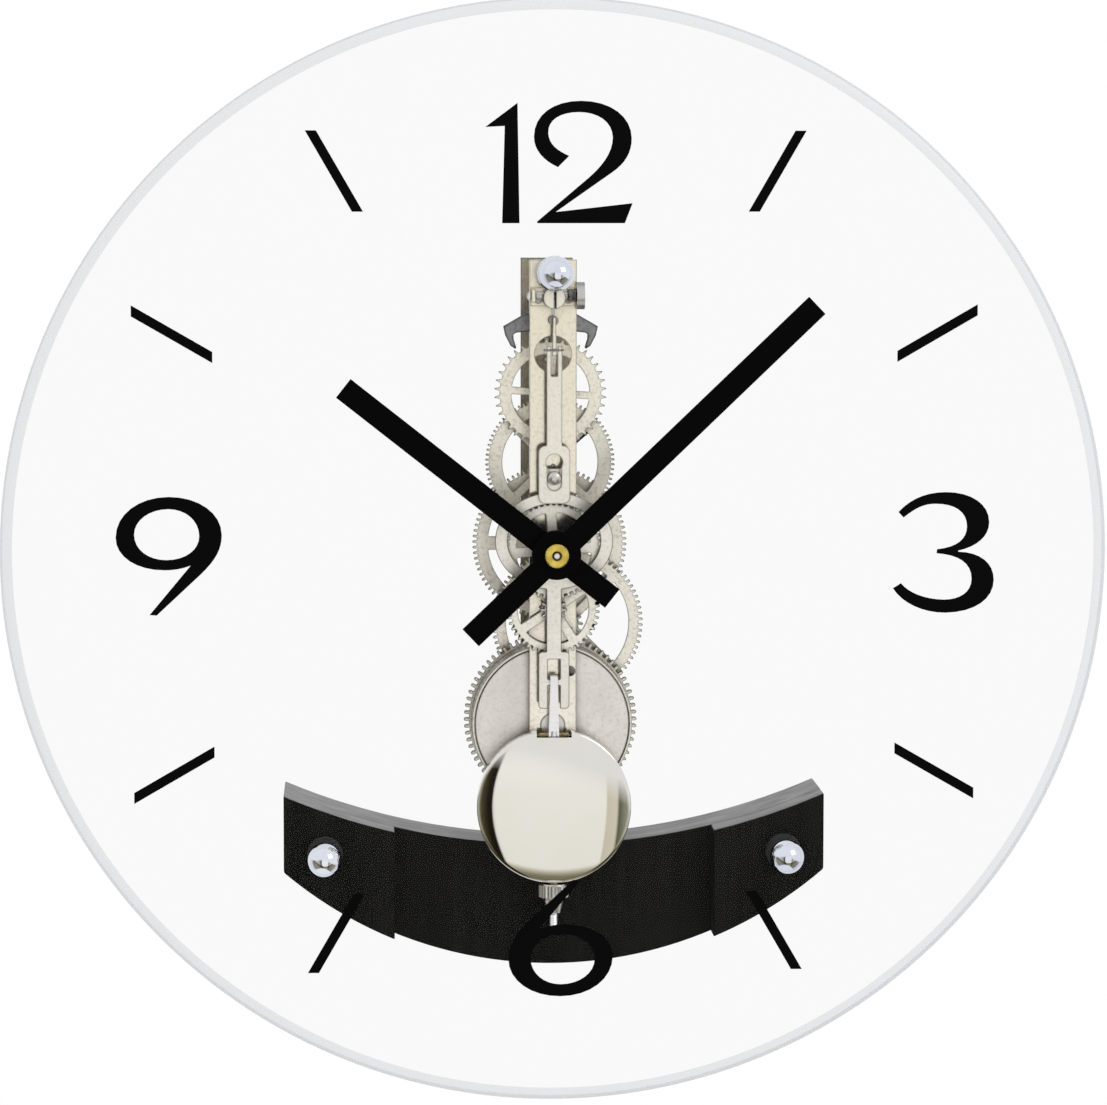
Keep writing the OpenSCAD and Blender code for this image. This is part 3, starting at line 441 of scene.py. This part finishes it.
def clear_glass():
    """Polished float glass: lets light straight through and mirrors a little."""
    f = Finish("clear_glass")
    f.nodes.remove(f.shader)
    through = f.add("ShaderNodeBsdfTransparent")
    through.inputs["Color"].default_value = (0.972, 0.973, 0.972, 1)
    mirror = f.add("ShaderNodeBsdfGlossy")
    mirror.inputs["Roughness"].default_value = 0.02
    f.join(f.blend(f.noise(30.0), (0.95, 0.96, 0.96), (1, 1, 1)), mirror.inputs["Color"])
    fresnel = f.add("ShaderNodeFresnel")
    fresnel.inputs["IOR"].default_value = 1.13
    side = f.add("ShaderNodeNewGeometry")
    outer = f.add("ShaderNodeMath", operation="SUBTRACT")
    outer.inputs[0].default_value = 1.0
    f.join(side.outputs["Backfacing"], outer.inputs[1])
    share = f.add("ShaderNodeMath", operation="MULTIPLY")
    f.join(fresnel.outputs[0], share.inputs[0])
    f.join(outer.outputs[0], share.inputs[1])
    mix = f.add("ShaderNodeMixShader")
    f.join(share.outputs[0], mix.inputs[0])
    f.join(through.outputs[0], mix.inputs[1])
    f.join(mirror.outputs[0], mix.inputs[2])
    f.join(mix.outputs[0], f.out.inputs["Surface"])
    return f.material


def ground_glass():
    """The ground bevel: pale, silky and half clear."""
    f = Finish("ground_glass")
    tooth = f.noise(5000.0, 3.0)
    f.join(f.blend(tooth, (0.60, 0.61, 0.63), (0.70, 0.71, 0.73)), f.shader.inputs["Base Color"])
    f.join(f.spread(tooth, 0.3, 0.45), f.shader.inputs["Roughness"])
    f.bump(tooth, 0.1, 0.00002)
    through = f.add("ShaderNodeBsdfTransparent")
    through.inputs["Color"].default_value = (0.95, 0.955, 0.965, 1)
    mix = f.add("ShaderNodeMixShader")
    mix.inputs[0].default_value = 0.5
    f.join(through.outputs[0], mix.inputs[1])
    f.join(f.shader.outputs[0], mix.inputs[2])
    f.join(mix.outputs[0], f.out.inputs["Surface"])
    return f.material


# The corner colours and edge lines of these finishes are painted shade
FINISH = {
    "clear_glass": clear_glass(),
    "ground_glass": ground_glass(),
    "black_print": plain_coat("black_print", (0.0015, 0.0015, 0.0015), 0.6, 0.03),
    "black_hands": plain_coat("black_hands", (0.0008, 0.0008, 0.0008), 0.5, 0.03),
    "polished_chrome": glossy_metal("polished_chrome", (0.80, 0.83, 0.89), (0.64, 0.67, 0.76),
                                    0.05),
    "black_rubber": plain_coat("black_rubber", (0.02, 0.02, 0.02), 0.75, 0.3, 3000.0),
    "black_lacquer": lacquered_wood("black_lacquer", (0.0068, 0.0068, 0.006),
                                    (0.012, 0.012, 0.0108), 0.5, "z", 0.03),
    "clear_plastic": plain_coat("clear_plastic", (0.62, 0.64, 0.68), 0.3, 0.5, 3000.0),
    # Painted light: the paler sheen of the top faces, with their grain
    "lit_top_lacquer": lacquered_wood("lit_top_lacquer", (0.10, 0.10, 0.10), (0.30, 0.29, 0.28),
                                   0.42, "x", 0.5),
    "grey_lacquer": lacquered_wood("grey_lacquer", (0.02, 0.02, 0.019), (0.05, 0.048, 0.045),
                                   0.5, "x", 0.3),
    "satin_nickel": metal("satin_nickel", (0.92, 0.88, 0.79), (0.84, 0.79, 0.69), 0.13,
                          clouds=90.0, spread=0.04, corner_shade=(0.38, 0.34, 0.27), reach=5.0,
                          blotch=0.16, edge=0.45, warm=(0.83, 0.775, 0.62)),
    "shaded_nickel": metal("shaded_nickel", (0.56, 0.51, 0.42), (0.40, 0.36, 0.29), 0.26,
                           clouds=90.0, corner_shade=(0.07, 0.06, 0.045), reach=40.0, blotch=0.2,
                           edge=0.5),
    "wheel_nickel": metal("wheel_nickel", (0.98, 0.945, 0.86), (0.92, 0.88, 0.79), 0.36,
                          grain="", grain_size=5000.0, clouds=150.0,
                          corner_shade=(0.27, 0.24, 0.195), reach=14.0, blotch=0.32, edge=0.45,
                          edge_shade=0.22, warm=(0.95, 0.91, 0.77)),
    "lid_nickel": metal("lid_nickel", (0.90, 0.86, 0.82), (0.80, 0.76, 0.72), 0.38,
                        centre=(0, BARREL_Z), grain_size=7000.0, clouds=120.0,
                        corner_shade=(0.08, 0.07, 0.06), reach=8.0, blotch=0.14, edge=0.5),
    "motion_nickel": metal("motion_nickel", (0.98, 0.95, 0.87), (0.93, 0.89, 0.80), 0.34,
                           grain="", grain_size=5000.0, clouds=150.0,
                           corner_shade=(0.22, 0.195, 0.155), reach=5.5, blotch=0.26, edge=0.45,
                           edge_shade=0.22),
    "leader_nickel": metal("leader_nickel", (0.95, 0.92, 0.865), (0.87, 0.835, 0.775), 0.33,
                           clouds=120.0, corner_shade=(0.13, 0.115, 0.10), reach=3.0, blotch=0.16,
                           edge=0.45, edge_shade=0.25, warm=(0.90, 0.86, 0.74)),
    # Painted shade for the side faces and backs of the nickel pieces
    "shaded_edge_nickel": metal("shaded_edge_nickel", (0.26, 0.235, 0.19), (0.16, 0.145, 0.115), 0.4,
                         grain="", grain_size=5000.0, clouds=300.0),
    "anchor_steel": metal("anchor_steel", (0.34, 0.34, 0.35), (0.24, 0.24, 0.25), 0.36,
                          grain="", grain_size=4000.0, clouds=260.0, blotch=0.3, edge=0.9,
                          edge_shade=0.2),
    # Painted shade for the anchor's side faces
    "anchor_edge": metal("anchor_edge", (0.05, 0.05, 0.05), (0.03, 0.03, 0.03), 0.4),
    "knurled_steel": metal("knurled_steel", (0.78, 0.76, 0.73), (0.66, 0.64, 0.61), 0.3,
                           grain="", corner_shade=(0.05, 0.045, 0.04), reach=0.6,
                           recess=(0.6, 0.95)),
    "bob_nickel": glossy_metal("bob_nickel", (0.86, 0.845, 0.795), (0.845, 0.825, 0.77), 0.02),
    "bright_steel": metal("bright_steel", (0.78, 0.76, 0.73), (0.68, 0.66, 0.63), 0.26,
                          grain="", corner_shade=(0.08, 0.075, 0.07), reach=4.0, edge=0.5),
    "white_nickel": metal("white_nickel", (0.97, 0.96, 0.98), (0.84, 0.83, 0.87), 0.25,
                          grain="x", grain_size=2600.0, depth=0.3),
    "brass": metal("brass", (0.72, 0.56, 0.13), (0.48, 0.36, 0.07), 0.16, centre=(0, 0),
                   grain_size=5200.0, depth=0.9, clouds=500.0, edge=0.5),
    "guide_brass": metal("guide_brass", (0.50, 0.38, 0.14), (0.22, 0.19, 0.11), 0.3, grain="",
                         clouds=700.0),
    "grey_steel": metal("grey_steel", (0.36, 0.36, 0.37), (0.28, 0.28, 0.29), 0.34),
    "spring_steel": metal("spring_steel", (0.32, 0.35, 0.45), (0.24, 0.27, 0.38), 0.3),
}


# ---------------------------------------------------------------- pieces

# Width of the broken edge on each solid
EDGE = {
    "arch_board": 0.6, "left_end_block": 0.5, "right_end_block": 0.5, "spacer_block": 0.6,
    "front_plate": 0.22, "rear_plate": 0.25, "pillars": 0.1, "beat_bridge": 0.15,
    "suspension_post": 0.12, "hanger_strap": 0.2, "wall_pads": 0.6, "block_screws": 0.12,
    "plate_screws": 0.12, "pillar_screws": 0.1, "hanger_screws": 0.1, "click_screw": 0.1,
    "pendulum_leader": 0.2, "pendulum_loop": 0.2, "pendulum_rod": 0.06,
    "anchor": 0.35, "crutch": 0.12, "barrel_drum": 0.1, "barrel_lid": 0.08,
    "minute_hand": 0.12, "hour_hand": 0.12, "stud_sleeve": 0.12,
    "ratchet_wheel": 0.06, "click": 0.08, "winding_arbor": 0.3, "glass_washers": 0.3,
    "second_wheel": 0.13, "centre_wheel": 0.13, "third_wheel": 0.12, "escape_wheel": 0.12,
    "minute_wheel": 0.11, "hour_wheel": 0.11, "loop_stud": 0.05,
}
# Knurled pieces keep every ridge sharp, down to this turn in degrees
KNURLED = ("beat_screw", "rating_nut", "hand_nut")
KNURL_TURN = 8.0
# The print lies on the glass and isn't mirrored in what stands behind it
PRINTED = ("hour_marks", "numerals")
AS_DRAWN = (
    *KNURLED, *PRINTED, "mainspring", "suspension_spring", "click_spring", "second_arbor",
    "centre_arbor", "third_arbor", "escape_arbor", "cannon_pinion", "minute_wheel_post",
    "anchor_arbor", "fork_pin", "ball_studs", "bob_guide")
# Each wheel's axis, how far out its windows reach, and the rounding of their corners
WINDOWS = {
    "second_wheel": (5.21, -23.63, 18.9, 1.8), "centre_wheel": (0, 0, 19.0, 1.8),
    "third_wheel": (0, 24.34, 14.8, 2.0), "escape_wheel": (0, 45.02, 12.2, 1.4),
    "minute_wheel": (0, -17.52, 10.9, 0.9), "hour_wheel": (0, 0, 11.5, 0.9),
}
# Nodes whose finish differs from the others of their slot
FINISH_OF = {
    "rear_plate": "shaded_nickel", "pendulum_rod": "white_nickel",
    "pendulum_leader": "leader_nickel", "pendulum_loop": "leader_nickel",
    "minute_wheel": "motion_nickel", "hour_wheel": "motion_nickel",
    "barrel_drum": "motion_nickel",
    "suspension_post": "leader_nickel", "crutch": "leader_nickel", "anchor": "anchor_steel",
    "bob_guide": "guide_brass", "beat_screw": "knurled_steel", "rating_nut": "knurled_steel",
}
# Flat pieces whose rims and holes get a darker finish than their faces as painted shade, and the
# finish of those
SHADED_SIDES = {node: "shaded_edge_nickel" for node in (
    "second_wheel", "centre_wheel", "third_wheel", "escape_wheel", "minute_wheel", "hour_wheel",
    "pendulum_leader", "pendulum_loop", "barrel_drum", "barrel_lid", "suspension_post",
    "crutch")}
SHADED_SIDES["anchor"] = "anchor_edge"
# Those whose backs get it too, as painted shade
SHADED_BACKS = ("pendulum_leader", "pendulum_loop", "crutch")


def shade_the_sides(piece, finish, back_too):
    """What doesn't face the front or the wall gets a darker finish as painted shade, the back too
    where asked.
    """
    add_finish(piece, finish,
               lambda face: abs(face.normal.y) < 0.93 or back_too and face.normal.y > 0)


def dress_the_solids():
    """Every solid whose drawn shape is right gets clean broken edges and its finish."""
    for node in (*EDGE, *AS_DRAWN):
        turn = KNURL_TURN if node in KNURLED else SMOOTH_TURN
        piece = copy_of(node, EDGE.get(node, 0), turn, WINDOWS.get(node))
        wear(piece, FINISH[FINISH_OF.get(node, SLOT_OF[node])])
        if node in SHADED_SIDES:
            shade_the_sides(piece, FINISH[SHADED_SIDES[node]], node in SHADED_BACKS)
        settle(piece, BODY_OF[node], SLOT_OF[node], node)
        if node in PRINTED:
            piece.visible_glossy = False


def light_the_tops():
    """The board's and blocks' top faces show the grain lengthwise, painted paler than the front
    as the light they catch from above.
    """
    for node in ("arch_board", "left_end_block", "right_end_block"):
        add_finish(bpy.data.objects[node + "_made"], FINISH["lit_top_lacquer"],
                   lambda face: face.normal.z > 0.6)


def change_the_top_washer():
    """The washer at the top is clear plastic, the lower two are black."""
    add_finish(bpy.data.objects["glass_washers_made"], FINISH["clear_plastic"],
               lambda face: face.center.z > 0)


def make_glass():
    """The dial: a turned disc with a ground bevel and four holes."""
    front, back = GLASS_FRONT, GLASS_BACK
    outline = [(DIAL_BORE, back), (DIAL_R - 0.4, back), (DIAL_R, back - 0.4),
               (DIAL_R, front + GROUND_DEEP), (DIAL_R - GROUND_W, front), (DIAL_BORE, front),
               (DIAL_BORE, back)]
    disc = spun("glass_disc", outline, 0, 0, 256)
    cut_away(disc, [rod_cutter(x, z, STUD_HOLE, front - 1, back + 1) for x, z in STUDS])
    wear(disc, FINISH["clear_glass"])
    ground_from = (DIAL_R - GROUND_W + 0.3) * MM
    ground_to = (back - 0.2) * MM

    def ground(face):
        middle = face.center - place(0, 0, 0)
        return math.hypot(middle.x, middle.z) > ground_from and middle.y < ground_to

    add_finish(disc, FINISH["ground_glass"], ground)
    even_shade(disc)
    settle(disc, "case", "clear_glass", "glass_dial")


def make_ball_nuts():
    """Three ball nuts, each turned with a short neck that stands on the glass."""
    centre = GLASS_FRONT - BALL_OUT
    ball = [(BALL_R * math.sin(a), centre - BALL_R * math.cos(a))
            for a in [math.radians(142 * k / 36) for k in range(37)]]
    neck = [(3.2, GLASS_FRONT - 0.55), (3.35, GLASS_FRONT - 0.3), (3.2, GLASS_FRONT)]
    bore = [(2.05, GLASS_FRONT), (2.05, GLASS_FRONT - 4), (0, GLASS_FRONT - 4)]
    for number, (x, z) in enumerate(STUDS):
        nut = spun(f"ball_nut_{number}", ball + neck + bore, x, z, 72)
        wear(nut, FINISH["polished_chrome"])
        settle(nut, "case", "polished_chrome")
        if number == 0:
            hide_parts("ball_nuts")


def make_bob():
    """The bob: a domed front cover with a rolled rim and a shallow pan behind it."""
    cap_r = (BOB_R ** 2 + BOB_DOME ** 2) / (2 * BOB_DOME)
    reach = math.asin((BOB_R - 0.3) / cap_r)
    dome = [(cap_r * math.sin(reach * k / 28), BOB_CROWN + cap_r * (1 - math.cos(reach * k / 28)))
            for k in range(29)]
    rim = [(BOB_R - 0.05, BOB_RIM - 0.2), (BOB_R, BOB_RIM - 0.05), (BOB_R - 0.1, BOB_RIM)]
    inside = [(22.0, BOB_RIM), (12.0, BOB_CROWN + 1.35), (0, BOB_CROWN + 0.65)]
    front = spun("bob_cover", dome + rim + inside, 0, BOB_Z, 160)
    back_y = BOB_RIM + BOB_DEEP
    pan = [(BOB_R - 0.1, BOB_RIM + 0.03), (BOB_R, BOB_RIM + 0.15), (BOB_R, back_y - 1.2),
           (BOB_R - 0.35, back_y - 0.35), (BOB_R - 1.2, back_y), (0, back_y), (0, back_y - 0.6),
           (BOB_R - 1.2, back_y - 0.6), (BOB_R - 0.6, back_y - 1.2),
           (BOB_R - 0.6, BOB_RIM + 0.03), (BOB_R - 0.1, BOB_RIM + 0.03)]
    back = spun("bob_pan", pan, 0, BOB_Z, 128)
    top, foot = BOB_Z + BOB_R, BOB_Z - BOB_R
    for piece in (front, back):
        cut_away(piece, [box_cutter((-5.1, -60, top - 2.2), (5.1, -40, top + 1))])
        even_shade(piece)
    cut_away(back, [box_cutter((-2.4, BOB_RIM - 1, foot - 1), (2.4, back_y - 1, foot + 2))])
    even_shade(back)
    for piece, node in ((front, "bob_front"), (back, "bob_back")):
        wear(piece, FINISH["bob_nickel"])
        settle(piece, "bob", "polished_nickel", node)


# ---------------------------------------------------------------- the studio

def make_floor():
    """A plain pale floor below the clock."""
    bpy.ops.object.select_all(action="DESELECT")
    bpy.ops.mesh.primitive_plane_add(size=FLOOR_SIZE, location=FLOOR_SPOT)
    floor = bpy.context.object
    floor.name = "studio_floor"
    floor.visible_glossy = False
    f = Finish("studio_floor")
    f.join(f.blend(f.noise(8.0), (0.86, 0.86, 0.855), (0.9, 0.9, 0.895)),
           f.shader.inputs["Base Color"])
    f.shader.inputs["Roughness"].default_value = 0.8
    wear(floor, f.material)


# What the polished pieces mirror: a big lit panel, the dark gaps at its edges and dim corners.
# Each list gives the brightness at points from -1 to 1 along one direction.
WHITE, BLACK = (1, 1, 1), (0, 0, 0)
LEFT_SIDE = [
    (-1, (0.5, 0.5, 0.5)), (-0.87, (0.75, 0.75, 0.74)), (-0.56, (0.45, 0.44, 0.39)),
    (-0.44, (0.20, 0.185, 0.12)), (-0.385, (0.05, 0.042, 0.02)),
    (-0.36, (0.012, 0.008, 0.003)), (-0.334, (0.012, 0.008, 0.003)), (-0.326, WHITE),
    (1, WHITE)]
RIGHT_SIDE = [
    (-1, WHITE), (0.374, WHITE), (0.382, (0.72, 0.67, 0.58)), (0.44, (0.76, 0.72, 0.62)),
    (0.452, (0.12, 0.12, 0.08)), (0.47, (0.20, 0.21, 0.15)), (0.52, (0.42, 0.43, 0.36)),
    (0.64, (0.6, 0.6, 0.58)), (0.87, (0.75, 0.75, 0.74)), (1, (0.5, 0.5, 0.5))]
FOOT_TO_TOP = [
    (-1, (0.45, 0.43, 0.38)), (-0.7, (0.38, 0.35, 0.27)), (-0.62, (0.13, 0.12, 0.075)),
    (-0.575, (0.26, 0.24, 0.16)), (-0.553, (0.62, 0.59, 0.5)), (-0.535, (0.98, 0.965, 0.93)),
    (-0.1, (1.03, 1.015, 0.99)), (0.25, (1.12, 1.11, 1.10)), (1, (1.12, 1.11, 1.10))]
# They hold in a belt and in front of the clock. The rest of the room is plain.
BELT = [(-0.74, BLACK), (-0.67, WHITE), (0.08, WHITE), (0.23, BLACK)]
IN_FRONT = [(-0.15, WHITE), (0.1, BLACK)]
PLAIN_WALL = (0.93, 0.935, 0.95, 1)


def make_room_light():
    """A white room: the big light round the camera, dim gaps beside it, a dimmer floor."""
    world = bpy.data.worlds.new("studio")
    bpy.context.scene.world = world
    world.use_nodes = True
    nodes, links = world.node_tree.nodes, world.node_tree.links
    nodes.clear()
    direction = nodes.new("ShaderNodeTexCoord")
    split = nodes.new("ShaderNodeSeparateXYZ")
    links.new(direction.outputs["Generated"], split.inputs[0])
    across, depth, up = (split.outputs[axis] for axis in "XYZ")

    def maths(operation, a, b):
        """The result of an operation on two sockets or numbers."""
        node = nodes.new("ShaderNodeMath")
        node.operation = operation
        for socket, value in zip(node.inputs, (a, b)):
            if isinstance(value, (int, float)):
                socket.default_value = value
            else:
                links.new(value, socket)
        return node.outputs[0]

    def wall(stops, along, bows_with, middle, by):
        """Brightness along one direction, its edges bowed as those of a near panel are."""
        off = maths("SUBTRACT", bows_with, middle)
        bow = maths("MULTIPLY", maths("MULTIPLY", off, off), by)
        half = maths("MULTIPLY", maths("ADD", along, bow), 0.5)
        node = nodes.new("ShaderNodeValToRGB")
        steps = node.color_ramp.elements
        while len(steps) < len(stops):
            steps.new(0.5)
        for step, (position, colour) in zip(steps, stops):
            step.position = position / 2 + 0.5
            step.color = (*colour, 1)
        links.new(maths("ADD", half, 0.5), node.inputs["Fac"])
        return node.outputs["Color"]

    def both_of(a, b):
        """Two brightnesses multiplied."""
        node = nodes.new("ShaderNodeMix")
        node.data_type = "RGBA"
        node.blend_type = "MULTIPLY"
        node.inputs["Factor"].default_value = 1.0
        links.new(a, node.inputs[6])
        links.new(b, node.inputs[7])
        return node.outputs[2]

    left = wall(LEFT_SIDE, across, up, -0.14, -0.77)
    right = wall(RIGHT_SIDE, across, up, -0.06, 0.3)
    height = wall(FOOT_TO_TOP, up, across, 0.06, -0.58)
    belt = wall(BELT, up, across, -0.35, 0.34)
    front = wall(IN_FRONT, depth, up, 0.0, 0.0)
    mirrored = nodes.new("ShaderNodeMix")
    mirrored.data_type = "RGBA"
    mirrored.inputs[6].default_value = PLAIN_WALL
    links.new(maths("MULTIPLY", belt, front), mirrored.inputs["Factor"])
    links.new(both_of(both_of(left, right), height), mirrored.inputs[7])
    room = nodes.new("ShaderNodeBackground")
    links.new(mirrored.outputs[2], room.inputs["Color"])
    plain = nodes.new("ShaderNodeBackground")
    plain.inputs["Color"].default_value = (*WHITE, 1)
    seen = nodes.new("ShaderNodeLightPath")
    pick = nodes.new("ShaderNodeMixShader")
    links.new(seen.outputs["Is Camera Ray"], pick.inputs[0])
    links.new(room.outputs[0], pick.inputs[1])
    links.new(plain.outputs[0], pick.inputs[2])
    out = nodes.new("ShaderNodeOutputWorld")
    links.new(pick.outputs[0], out.inputs["Surface"])


def aim_at(thing, spot, aim):
    """Puts a light or a camera at a spot in the scene and turns it to its aim."""
    bpy.context.scene.collection.objects.link(thing)
    thing.location = spot
    thing.rotation_euler = (Vector(aim) - Vector(spot)).to_track_quat("-Z", "Y").to_euler()


def add_key_light():
    """A square soft box high up on the right."""
    data = bpy.data.lights.new("key_light", "AREA")
    data.shape = "SQUARE"
    data.size = 0.9
    data.energy = 10.0
    aim_at(bpy.data.objects.new("key_light", data), KEY_SPOT, KEY_AIM)


def set_camera():
    """The photograph's viewpoint: a little left of the dial's axis and above it."""
    data = bpy.data.cameras.new("camera")
    data.lens = CAMERA_LENS
    data.shift_x, data.shift_y = CAMERA_SHIFT
    data.sensor_width = 36.0
    data.clip_start = 0.01
    camera = bpy.data.objects.new("camera", data)
    aim_at(camera, CAMERA_SPOT, CAMERA_AIM)
    bpy.context.scene.camera = camera


dress_the_solids()
light_the_tops()
change_the_top_washer()
make_glass()
make_ball_nuts()
make_bob()
make_floor()
make_room_light()
add_key_light()
set_camera()
bpy.context.scene.view_settings.view_transform = "Standard"
